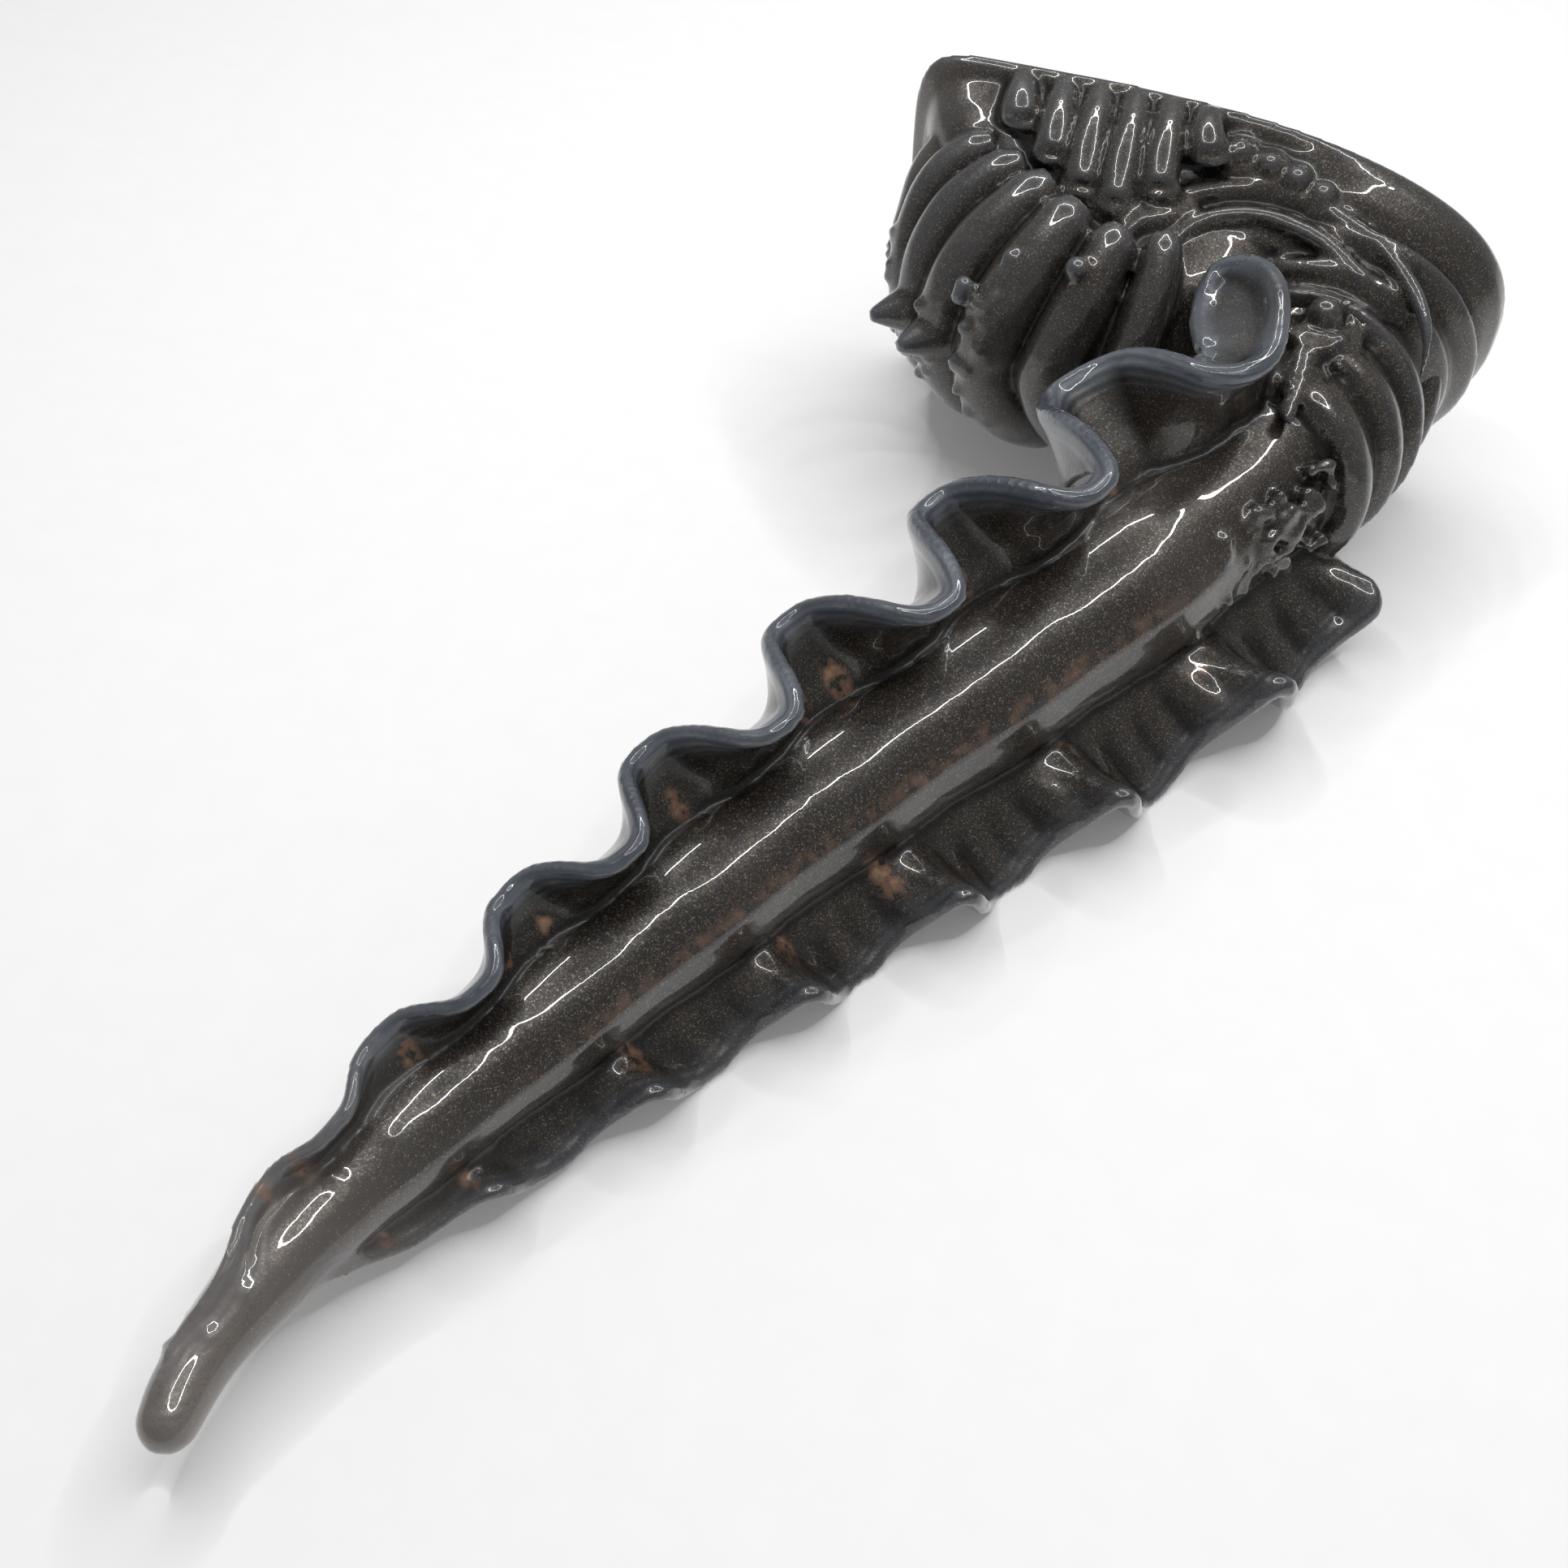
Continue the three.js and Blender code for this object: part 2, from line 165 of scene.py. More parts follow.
def cast(name, forms, voxel, passes):
    """Melts overlapping forms into one closed skin, and rounds its creases as liquid rubber does."""
    whole = bmesh.new()
    for form in forms:
        part = bpy.data.meshes.new("part")
        form.to_mesh(part)
        form.free()
        whole.from_mesh(part)
        bpy.data.meshes.remove(part)
    bmesh.ops.recalc_face_normals(whole, faces=whole.faces)
    mesh = bpy.data.meshes.new(name)
    whole.to_mesh(mesh)
    whole.free()
    co = np.array([v.co for v in mesh.vertices])
    mesh.vertices.foreach_set("co", placed(co).ravel())
    piece = bpy.data.objects.new(name, mesh)
    bpy.context.scene.collection.objects.link(piece)
    skin = piece.modifiers.new("skin", "REMESH")
    skin.mode = "VOXEL"
    skin.voxel_size = voxel / 1000
    soften = piece.modifiers.new("soften", "SMOOTH")
    soften.factor = 0.5
    soften.iterations = passes
    bpy.context.view_layer.update()
    done = bpy.data.meshes.new_from_object(piece.evaluated_get(bpy.context.evaluated_depsgraph_get()))
    piece.modifiers.clear()
    piece.data = done
    done.name = name
    for face in done.polygons:
        face.use_smooth = True
    return piece


# Tentacle: one solid arm of soft rubber, round in section, that swells a little with each wave
# of the fins and carries a faint ridge along its near side. It ends in a blunt rounded tip.
ROOT_RADIUS, TIP_RADIUS = 13.2, 3.1


def arm_radius(s):
    t = np.clip(s / LENGTH, 0, 1)
    taper = TIP_RADIUS + (ROOT_RADIUS - TIP_RADIUS) * (1 - t * t) ** 0.9
    return taper * (1 + 0.028 * np.cos(2 * np.pi * wave(np.minimum(s, LENGTH) - 4)))


def arm_section(s, t, angle):
    ridge = 0.7 * np.exp(-((angle - 24) / 8.0) ** 2) * ramp(s, 45, 70) * (1 - ramp(s, 190, 225))
    left = LENGTH - s
    nose = np.sqrt(np.clip(1 - (1 - np.clip(left / 3.4, 0, 1)) ** 2, 0.0, 1))
    return (arm_radius(s) + ridge) * nose


arm = swept(64, 260, lambda t, a: mix(18, LENGTH, 1 - (1 - t) ** 1.15), arm_section)

# Fins: two ruffled sheets along the arm, thick where they spring from it and with a rounded lip.
# The upper one stands up and leans over in waves, and its end at the root is rolled into a scroll;
# the lower one fans out to the table in swept-back pleats.
RIM = 31.6
FIN_THICK = 4.9


def rim_radius(s):
    t = np.clip(s / LENGTH, 0, 1)
    return RIM * (1 - t**2.4) ** 0.9


def fin(first, last, sheet, rings, sides=28):
    """A sheet given a thickness; sheet(q, w) is its middle, w = 0 at the arm and 1 at the rim."""
    def move(x, y, z):
        q = mix(first, last, np.clip(z + 0.5, 0, 1))
        inner = np.clip(np.hypot(x, y), 0, 1)
        turn = np.arctan2(y, x)
        w = 0.5 - 0.5 * np.cos(turn) * inner
        across = sheet(q, np.minimum(w + 0.02, 1)) - sheet(q, np.maximum(w - 0.02, 0))
        ahead = sheet(q + 0.3, w) - sheet(q - 0.3, w)
        out = np.cross(ahead, across)
        out /= np.maximum(np.linalg.norm(out, axis=1), 1e-9)[:, None]
        lean = 1 - 0.5 * np.clip(q / LENGTH, 0, 1)
        foot, waist = 1 - ramp(w, 0.1, 0.5), ramp(w, 0.3, 0.6) * (1 - ramp(w, 0.78, 0.93))
        thick = FIN_THICK * lean * (1 + 0.3 * foot - 0.3 * waist)
        edge = np.sign(np.sin(turn)) * np.abs(np.sin(turn)) ** 0.45 * inner
        p = sheet(q, w) + out * (thick / 2 * edge)[:, None]
        p[:, 2] = np.maximum(p[:, 2], 0.05)
        return p
    return shaped(tube(sides, rings), move)


# The scroll's rim, from its inner end out to the fin's first crest: how far along the arm it is,
# its angle round it, and its distance from the line.
SCROLL = np.array([
    (45, 110, 27.5), (39, 119, 28.5), (31, 124, 30), (26, 122, 31), (25, 114, 31), (27, 105, 31),
    (31, 97.5, 30.5), (37, 90.5, 29.5), (43, 85.5, 28.5), (48.5, 87.5, 28.5), (52, 95, 29),
    (52.5, 106, 29.5), (52.5, 118, 30), (53, 129, 30.3), (57, 136, 30.8), (61.5, 139, 31), (66, 140, 31),
], float)
CREST = 66.0
SCROLL_STOPS = CREST - 4.3 * np.arange(len(SCROLL))[::-1]


def upper_rim(q):
    q = np.asarray(q, float)
    swing = mix(30, 14, np.clip((q - 26) / 212, 0, 1))
    mean = 110 - 7 * ramp(q, 60, 100) + 7 * ramp(q, 185, 215)
    turn = 2 * np.pi * wave(np.maximum(q, CREST))
    angle = mean + swing * (np.cos(turn) - 0.1 * np.cos(3 * turn))
    free = np.stack([q, angle, rim_radius(np.maximum(q, 0))], -1)
    rolled = glide(q, SCROLL_STOPS, SCROLL)
    blend = ramp(q, CREST - 4, CREST + 4)[..., None]
    return mix(rolled, free, blend)


def upper_sheet(q, w):
    """The upper fin's middle. Its root stays on the arm while the rolled end goes round above it."""
    rim = upper_rim(q)
    start = np.stack([mix(36, CREST, np.clip((q + 4) / (CREST + 4), 0, 1)) + np.maximum(q - CREST, 0),
                      mix(112, 130, ramp(q, 20, 60)), 0.7 * arm_radius(np.maximum(q, 0))], -1)
    bend = np.stack([w**0.8, w**1.1, w], -1)
    s, angle, out = np.moveaxis(mix(start, rim, bend), -1, 0)
    return around(s, angle, out)


def pleat(s):
    """1 on a pleat's ridge: steep on the side of the root, easy on the other."""
    turn = 2 * np.pi * wave(s)
    ripple = 0.07 * np.cos(5 * turn) * (1 - ramp(np.cos(turn), -0.6, 0.3))
    return np.cos(turn + 0.75 * np.sin(turn) - 0.35) - ripple


def lower_sheet(s, w):
    """The lower fin's middle: pleats that sweep back a few mm to the rim, with fine wrinkles."""
    t = np.clip(s / LENGTH, 0, 1)
    swing = mix(16, 13, t) * ramp(s, 36, 50)
    lobe = np.sin(np.pi / 2 * np.clip((s - 37) / 8 + 0.45, 0, 1)) ** 0.6 * (1 - 0.5 * ramp(s, 206, 232))
    root = 0.72 * arm_radius(s)
    scallop = 1 - 0.07 * np.cos(2 * np.pi * wave(s) - 1.0) * ramp(s, 40, 60)
    out = np.maximum(0.96 * rim_radius(s) * lobe * scallop, root + 1)
    back = 5.0 * (1 - t) * (w - 0.6)
    angle = mix(-58, -27, w**0.55) - 3 * t + swing * pleat(s + back) * w**0.8
    wrinkles = 2.8 * np.sin(10 * np.pi * wave(s + 1.5 * w) + 1.0)
    wrinkles = wrinkles * ramp(w, 0.2, 0.6) * (1 - 0.6 * ramp(w, 0.8, 1))
    return around(s, angle + wrinkles * (1 - t), mix(root, out, w))


UPPER_FROM, UPPER_TO = SCROLL_STOPS[0], 240.0
LOWER_FROM, LOWER_TO = 38.0, 231.0
upper_fin = fin(UPPER_FROM, UPPER_TO, upper_sheet, rings=520)
lower_fin = fin(LOWER_FROM, LOWER_TO, lower_sheet, rings=420, sides=36)


def scroll_face():
    """The scroll's stem, which the roll closes on, with a dished face inside the rim."""
    centre = SCROLL[:11].mean(axis=0)
    ring = SCROLL[:12] - centre
    way = np.arctan2(ring[:, 0], ring[:, 1] / 2.0)
    order = np.argsort(way)

    def rim(turn):
        return np.stack([np.interp(turn, way[order], ring[order, i], period=2 * np.pi) for i in range(3)], 1)

    def move(x, y, z):
        t = np.clip(z + 0.5, 0, 1)
        inner = np.hypot(x, y)
        turn = np.arctan2(y, x)
        spread = rim(turn) * (inner * mix(0.5, 1.0, t**1.5))[:, None]
        out = mix(8, centre[2] - 1.0, t) + spread[:, 2] * t - 0.8 * (1 - inner) * t
        return around(centre[0] + spread[:, 0], centre[1] + spread[:, 1], out)
    return shaped(tube(48, 24), move)


# Neck: the arm's root under overlapping drapes of rubber, each with a swollen edge, with a few
# round warts. The upper fin's end is rolled up into a scroll beside it.
EDGES = ((5, 2), (17, 10), (25, 6), (32, 4), (39.5, 3))
NECK_FROM, NECK_TO = 25.0, 54.0


def neck_radius(s):
    t = np.clip((s - NECK_FROM) / (NECK_TO - NECK_FROM), 0, 1)
    return np.where(s < NECK_TO, mix(17.9, 13.4, t), arm_radius(s))


def drape(near, far):
    """One overlapping fold: it swells towards its far lip and steps down there."""
    def station(t, a):
        high = np.sin(np.radians(a))
        return mix(near[0] - near[1] * high - 3, far[0] - far[1] * high, t)

    def radius(s, t, a):
        around_side = ((a + 12 + 180) % 360) - 180
        show = 0.3 + 0.7 * np.exp(-(around_side / 70.0) ** 2)
        return neck_radius(s) - 1.6 + 4.3 * show * ramp(t, 0.1, 0.85) * (1 - 0.5 * ramp(t, 0.9, 1))

    return swept(56, 18, station, radius)


neck = [drape(EDGES[k], EDGES[k + 1]) for k in range(len(EDGES) - 1)]


def ball(centre, size, cuts=2):
    form = bmesh.new()
    bmesh.ops.create_icosphere(form, subdivisions=cuts, radius=size)
    return shaped(form, lambda x, y, z: np.stack([x, y, z], 1) + centre)


def wart(s, angle, distance, size):
    return ball(around(s, angle, distance), size)


def bar(points, radius, sides=16, rings=40):
    """A round bar along points; radius(t) is its radius from one end to the other."""
    path, run = smooth_line(np.asarray(points, float), 0.25)
    tangent = np.gradient(path, axis=0)
    tangent /= np.linalg.norm(tangent, axis=1)[:, None]
    one = np.cross(tangent, [0.31, -0.85, 0.43])
    one /= np.linalg.norm(one, axis=1)[:, None]
    two = np.cross(tangent, one)

    def move(x, y, z):
        at = np.clip(z + 0.5, 0, 1) * run[-1]
        pick = lambda rows: np.stack([np.interp(at, run, rows[:, i]) for i in range(3)], 1)
        r = radius(at / run[-1])
        return pick(path) + pick(one) * (x * r)[:, None] + pick(two) * (y * r)[:, None]

    return shaped(tube(sides, rings), move)


def welt(path, thick):
    """A low round ridge over the neck, along (s, angle, height over the skin) points."""
    points = [np.ravel(around(s, angle, neck_radius(s) + lift)) for s, angle, lift in path]
    fade = lambda t: thick * (0.35 + 0.65 * np.sin(np.pi * t) ** 0.5)
    return bar(points, fade, sides=10, rings=36)


# two arcs round the largest wart, and creases that zigzag away from it
LARGEST = (21, 88)
for reach in (4.6, 6.6):
    arc = [(LARGEST[0] + reach * math.cos(a), LARGEST[1] - 3.1 * reach * math.sin(a), 0.4)
           for a in np.linspace(-0.9, 2.6, 9)]
    neck.append(welt(arc, 0.6))
for k in range(9):
    s, angle = 26 + 1.8 * k, 91 - 1.9 * k
    crease = [(s - 0.6, angle - 7, 0.0), (s + 0.5, angle - 2, 0.3), (s - 0.4, angle + 2, 0.3),
              (s + 0.7, angle + 7, 0.0)]
    neck.append(welt(crease, 0.7))

# warts: a cluster on the near side, a few low down, five by the scroll and some at the tip
chance = np.random.default_rng(7)
for k in range(36):
    s, angle = chance.uniform(40, 64), chance.uniform(12, 44)
    neck.append(wart(s, angle, neck_radius(s) - 0.15, chance.uniform(0.8, 1.5)))
for k in range(18):
    s, angle = chance.uniform(38, 72), chance.uniform(-22, 8)
    neck.append(wart(s, angle, neck_radius(s) - 0.2, chance.uniform(0.9, 1.5)))
for s, angle, size in ((*LARGEST, 3.0), (13, 90, 1.5), (17, 81, 1.3), (25, 76, 1.2), (29, 70, 1.0)):
    neck.append(wart(s, angle, neck_radius(s) + 0.8, size))
for k in range(14):
    s, angle = chance.uniform(205, 242), chance.uniform(70, 170)
    neck.append(wart(s, angle, arm_radius(s) - 0.1, chance.uniform(0.5, 0.9)))
neck.append(scroll_face())
tentacle = cast("tentacle_casting", [arm, upper_fin, lower_fin] + neck, voxel=0.69, passes=4)

# Base: the flat foot, the flared skirt above it and the half-round body, poured as one.
# Hoops run over the body from a seam on one flank to the seam on the other.
FOOT_WIDEST, FOOT_RIGHT, FOOT_HALF, MID_Z = -60.0, 19.7, 30.5, 30.5
SMOOTH_SKIRT = np.array([(0, 1.4), (-0.8, 0.3), (-2.5, 0), (-5, 0.5), (-8, 2.6), (-11, 6.0), (-16, 12)])
RIBBED_SKIRT = np.array([(0, 0.9), (-0.7, 0.2), (-1.8, 0.5), (-3.4, 2.8), (-7, 4.6), (-11, 7.6), (-16, 11)])
BODY_X, BODY_Y = -45.0, -12.0
BODY_HALF_X, BODY_HALF_Z, BODY_DEPTH = 32.0, 20.0, 26.5


def plinth():
    """The foot and its skirt: an egg in outline, stepping in from the flat face."""
    def move(x, y, z):
        t = np.clip(z + 0.5, 0, 1) * (len(SMOOTH_SKIRT) - 1)
        inner = np.hypot(x, y)
        c, s = x / np.maximum(inner, 1e-9), y / np.maximum(inner, 1e-9)
        read = lambda rows, i: np.interp(t, range(len(rows)), rows[:, i])
        smooth = ramp(c, 0.42, 0.62)
        deep = mix(read(RIBBED_SKIRT, 0), read(SMOOTH_SKIRT, 0), smooth)
        inset = mix(read(RIBBED_SKIRT, 1), read(SMOOTH_SKIRT, 1), smooth)
        power = np.where(c < 0, 6.5, 2.5)
        reach = np.where(c < 0, FOOT_WIDEST - FOOT_LEFT, FOOT_RIGHT - FOOT_WIDEST) - inset
        px = FOOT_WIDEST + inner * reach * np.sign(c) * np.abs(c) ** (2 / power)
        pz = MID_Z + inner * (FOOT_HALF - inset) * np.sign(s) * np.abs(s) ** (2 / power)
        return np.stack([px, deep, pz], 1)
    return shaped(tube(300, 48), move)


def on_body(n, grow=0.0):
    """Point of the body's skin for unit directions n: a dome that turns boxy at the skirt."""
    flat = np.maximum(np.hypot(n[:, 0], n[:, 2]), 1e-6)
    corner = (np.abs(n[:, 0] / flat) ** 3.4 + np.abs(n[:, 2] / flat) ** 3.4)
    k = mix(1, np.maximum(corner, 0.5) ** (-1 / 3.4), np.clip(1 + n[:, 1], 0, 1))
    return np.stack([BODY_X + (BODY_HALF_X + grow) * n[:, 0] * k,
                     BODY_Y + (BODY_DEPTH + grow) * n[:, 1],
                     MID_Z + (BODY_HALF_Z + grow) * n[:, 2] * k], 1)


def dome():
    ball = bmesh.new()
    bmesh.ops.create_uvsphere(ball, u_segments=64, v_segments=40, radius=1)
    def move(x, y, z):
        p = on_body(np.stack([x, y, z], 1))
        p[:, 1] = np.minimum(p[:, 1], BODY_Y + 4)
        return p
    return shaped(ball, move)


# Each hoop: its upper end at the seam, as x and y; where it crosses the keel, in degrees round the
# body; the height of its spine; and its thickness.
HOOPS = (
    (-68.5, -3, 4, 0, 3.2), (-66, -6.5, 14, 0, 3.5), (-61.5, -11, 24, 0, 3.7),
    (-57, -15, 36, 6, 4.0), (-52.5, -18.5, 50, 6, 4.6), (-47.5, -22, 67, 3, 5.4),
    (-41, -24, 86, 0, 4.6), (-35, -23, 106, 0, 3.8),
)


def keel_way(keel, lean=0.0):
    """The direction of a place on the keel, or lean beside it, from the body's middle."""
    way = np.array([-math.cos(math.radians(keel)), -math.sin(math.radians(keel)), lean])
    return way / np.linalg.norm(way)


def hoop(seam_x, seam_y, keel, size):
    end = np.array([(seam_x - BODY_X) / BODY_HALF_X, (seam_y - BODY_Y) / BODY_DEPTH, 0])
    end[2] = math.sqrt(max(1 - end @ end, 0.05))
    top = keel_way(keel)
    ways = []
    for k in range(-8, 9):
        way = mix(top, end * np.array([1, 1, math.copysign(1, k)]), abs(k) / 8)
        ways.append(way / np.linalg.norm(way))

    def thick(t):
        inward = 1 - np.abs(2 * t - 1)
        return size * mix(0.85, 1.0, ramp(inward, 0.1, 0.5)) * mix(0.72, 1, ramp(inward, 0, 0.12))

    lift = 0.2 + 2.6 * ramp(np.abs(np.arange(-8, 9)) / 8, 0.45, 1)
    return bar(on_body(np.array(ways), lift), thick, sides=20, rings=90)


def spine(keel, height):
    way = keel_way(keel)
    root = on_body(way[None, :])[0]
    reach = 3.5 + height
    path = [root, root + way * reach * 0.5, root + way * reach]
    return bar(path, lambda t: mix(5.6, 1.1, t), rings=12)


base_forms = [plinth(), dome()]
for seam_x, seam_y, keel, height, size in HOOPS:
    base_forms.append(hoop(seam_x, seam_y, keel, size))
    if height:
        base_forms.append(spine(keel, height))


def knob(keel, lean, lift, size):
    return ball(on_body(keel_way(keel, lean)[None, :], lift)[0], size)


# knobs where the hoops cross the keel, and lumps low on the broad ones
for seam_x, seam_y, keel, height, size in HOOPS[:6]:
    for k in range(5):
        place = keel + chance.uniform(-4, 4), chance.uniform(-0.45, 0.45)
        base_forms.append(knob(*place, size - 0.2, chance.uniform(0.8, 1.4)))
for k in range(12):
    base_forms.append(knob(chance.uniform(58, 72), chance.uniform(-0.7, 0.9), 5.0, chance.uniform(1.0, 1.7)))
base_forms.append(knob(90, 1.0, 5.2, 2.1))

# Ribs: short drop-shaped ribs stand along each flank, square to the foot, and the row runs on
# into round studs towards the tentacle. They are part of the same pour.
RIBS = ((-63.3, -9.5), (-56.6, -14.5), (-50.7, -18.5), (-44.8, -20), (-39.0, -16.5), (-33.0, -9.5))
STUDS = ((-26.8, -6.8), (-21.8, -7.4), (-17.2, -8.0), (-12.8, -9.0))
RIB_TOP, SOCKET, STUD, STUD_RING = 27.7, 3.2, 2.0, 2.6


def steady(size):
    return lambda t: np.full_like(t, size)


def flank(x, y):
    """Half the skirt's height at x and y, on the side that carries the ribs."""
    inset = np.interp(-y, -RIBBED_SKIRT[:, 0], RIBBED_SKIRT[:, 1])
    along = (x - FOOT_WIDEST) / (FOOT_RIGHT - FOOT_WIDEST)
    return (FOOT_HALF - inset) * (1 - along**2.5) ** 0.4


def rib(x, low, side):
    """A rib from the foot's edge down to low, and the U-shaped welt that its lower end sits in."""
    z = lambda h: MID_Z + side * h
    end = np.interp(-low, (9, 14, 20), (25.4, 23.6, 20.6))
    path = [
        (x, -1.9, z(RIB_TOP)), (x + 0.5, -5.5, z(27.4)),
        (x + 1.1, mix(-5.5, low, 0.6), z(mix(27.0, end, 0.4))), (x + 1.8, low, z(end)),
    ]
    swell = lambda t: mix(2.5, 3.15, ramp(t, 0.15, 0.8)) * (1 - 0.2 * ramp(t, 0.95, 1))
    socket = [
        (x + 1.8 + SOCKET * math.cos(a), low + 1.5 + SOCKET * math.sin(a), z(end + 0.7 + 0.5 * math.sin(a)))
        for a in np.linspace(-0.1, -math.pi + 0.1, 7)
    ]
    return [bar(path, swell, rings=30), bar(socket, steady(0.75), sides=8, rings=24)]


def stud(x, y, side):
    at = np.array([x, y, MID_Z + side * (flank(x, y) + 1.0)])
    ring = [at + (STUD_RING * math.cos(a), STUD_RING * math.sin(a), side * (1.3 * math.sin(a) - 0.6))
            for a in np.linspace(0, 2 * math.pi, 11)]
    return [ball(at, STUD, cuts=3), bar(ring, steady(0.55), sides=8, rings=40)]


for side in (1, -1):
    for x, low in RIBS:
        base_forms += rib(x, low, side)
    for x, y in STUDS:
        base_forms += stud(x, y, side)

# Seams: two low ridges sweep from the hoops' upper ends round the neck, and a bar under the ends
# of the hoops and the ribs closes the hollow between them. Given as x, y and half height.
OUTER_SEAM = (
    (9, -27, 6), (8.3, -24, 11), (1.5, -15.5, 16.5), (-11.5, -10.5, 20.6), (-23.2, -9.7, 21.6),
    (-34, -15, 20.8), (-40, -23, 18.6), (-43, -29, 15.5),
)
INNER_SEAM = (
    (-3, -19, 15.5), (-12, -14.5, 18.4), (-23, -13.5, 19.4), (-31, -18.5, 18.6),
    (-34.5, -25.5, 14.5), (-35.5, -31, 9),
)
VALLEY = (
    (-68.5, -3.6, 22.8), (-65, -6, 22.4), (-60.5, -8, 22.0), (-56, -12, 21.0), (-51.5, -15.5, 20.2),
    (-46.5, -18.5, 19.4), (-40, -20, 18.4), (-35, -17.5, 18.6), (-32, -14, 18.8),
)
for side in (1, -1):
    outer, inner, valley = (
        [(x, y, MID_Z + side * half) for x, y, half in row] for row in (OUTER_SEAM, INNER_SEAM, VALLEY))
    base_forms.append(bar(outer, lambda t: 0.5 + 1.0 * ramp(t, 0, 0.2), rings=90))
    base_forms.append(bar(inner, steady(1.4), rings=70))
    base_forms.append(bar(valley, steady(2.8), rings=90))


# Root rings: the skirt's rounded end steps in to the neck in three smooth rings, and is drawn in
# below them where the neck folds over.
def ring_radius(s, t, a):
    low_side = (a + 200) % 360 - 180
    drawn_in = 2.4 * ramp(s, 9, 15) * np.exp(-((low_side / 65) ** 2))
    return 23.6 - drawn_in - 6.3 * np.clip((s - 5) / 20, 0, 1) ** 0.7 + 0.9 * np.cos(2 * np.pi * (s - 6) / 6)


base_forms.append(swept(96, 40, lambda t, a: mix(4, 24 - 6 * np.sin(np.radians(a)), t), ring_radius))
base = cast("base_casting", base_forms, voxel=0.6, passes=5)

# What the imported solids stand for: the tentacle casting and the base casting.
NODES = sorted(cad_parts)
TENTACLE_NODES = [n for n in NODES if n.startswith(("collar", "fin", "tentacle"))]
BASE_NODES = [n for n in NODES if n not in TENTACLE_NODES]
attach(tentacle, "root")
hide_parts(*TENTACLE_NODES)
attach(base, "root")
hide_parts(*BASE_NODES)

# Rubber: platinum-cure silicone tinted brown-black, with fine gold, copper and green glitter
# stirred in. It is glossy, and milky blue-grey where it is thin enough to let light through.
class Value:
    """A number that changes over a surface: sums on it add Math nodes."""

    def __init__(self, finish, socket):
        self.finish, self.socket = finish, socket

    def _math(self, operation, a, b):
        made = self.finish.node("ShaderNodeMath", {"operation": operation}, {0: a, 1: b})
        return Value(self.finish, made.outputs[0])

    def __add__(self, other): return self._math("ADD", self, other)
    def __radd__(self, other): return self._math("ADD", other, self)
    def __sub__(self, other): return self._math("SUBTRACT", self, other)
    def __rsub__(self, other): return self._math("SUBTRACT", other, self)
    def __mul__(self, other): return self._math("MULTIPLY", self, other)
    def __rmul__(self, other): return self._math("MULTIPLY", other, self)
    def __gt__(self, other): return self._math("GREATER_THAN", self, other)


class Finish:
    """A material being put together."""

    def __init__(self, name):
        self.material = bpy.data.materials.new(name)
        self.material.use_nodes = True
        self.tree = self.material.node_tree
        self.shader = self.tree.nodes["Principled BSDF"]

    def link(self, socket, value):
        if isinstance(value, Value):
            value = value.socket
        if isinstance(value, bpy.types.NodeSocket):
            self.tree.links.new(value, socket)
        else:
            socket.default_value = value

    def node(self, kind, settings, inputs):
        made = self.tree.nodes.new(kind)
        for key, value in settings.items():
            if key == "stops":
                ramp_stops = made.color_ramp.elements
                while len(ramp_stops) < len(value):
                    ramp_stops.new(0.5)
                for stop, (at, colour) in zip(ramp_stops, value):
                    stop.position, stop.color = at, colour
            elif key == "interpolation":
                made.color_ramp.interpolation = value
            else:
                setattr(made, key, value)
        for key, value in inputs.items():
            self.link(made.inputs[key], value)
        return made

    def value(self, kind, settings, inputs, output=0):
        return Value(self, self.node(kind, settings, inputs).outputs[output])

    def attribute(self, name):
        return self.value("ShaderNodeAttribute", {"attribute_name": name}, {}, "Fac")

    def noise(self, where, scale, detail, **more):
        inputs = {"Vector": where, "Scale": scale, "Detail": detail, **more}
        return self.value("ShaderNodeTexNoise", {}, inputs)

    def colours(self, factor, stops, interpolation="LINEAR"):
        settings = {"interpolation": interpolation, "stops": [(at, (*rgb, 1)) for at, rgb in stops]}
        return self.node("ShaderNodeValToRGB", settings, {"Fac": factor}).outputs[0]

    def blend(self, factor, a, b):
        """Colour a where factor is 0 and b where it is 1."""
        return self.node("ShaderNodeMix", {"data_type": "RGBA"}, {"Factor": factor, 6: a, 7: b}).outputs[2]


PIGMENT = ((0.3, (0.006, 0.0045, 0.004)), (0.55, (0.015, 0.0105, 0.009)), (0.75, (0.027, 0.021, 0.018)))
MILK = ((0.3, (0.055, 0.068, 0.088)), (0.72, (0.15, 0.172, 0.2)))
MILK_STREAK = (0.022, 0.027, 0.037, 1)
GOLD, ROSE, GREEN, SILVER = (0.17, 0.135, 0.09), (0.16, 0.105, 0.08), (0.12, 0.13, 0.08), (0.38, 0.35, 0.31)
# colours of the painted copper reflections
COPPER_GLINT = ((0.45, (0.12, 0.06, 0.04)), (0.7, (0.5, 0.3, 0.19)))
# painted shade for the grooves
GROOVE_SHADE_BLACK = (0.0035, 0.003, 0.003, 1)
PALE_TAN = (0.215, 0.19, 0.17, 1)
FLAKES_PER_METRE = 6200.0


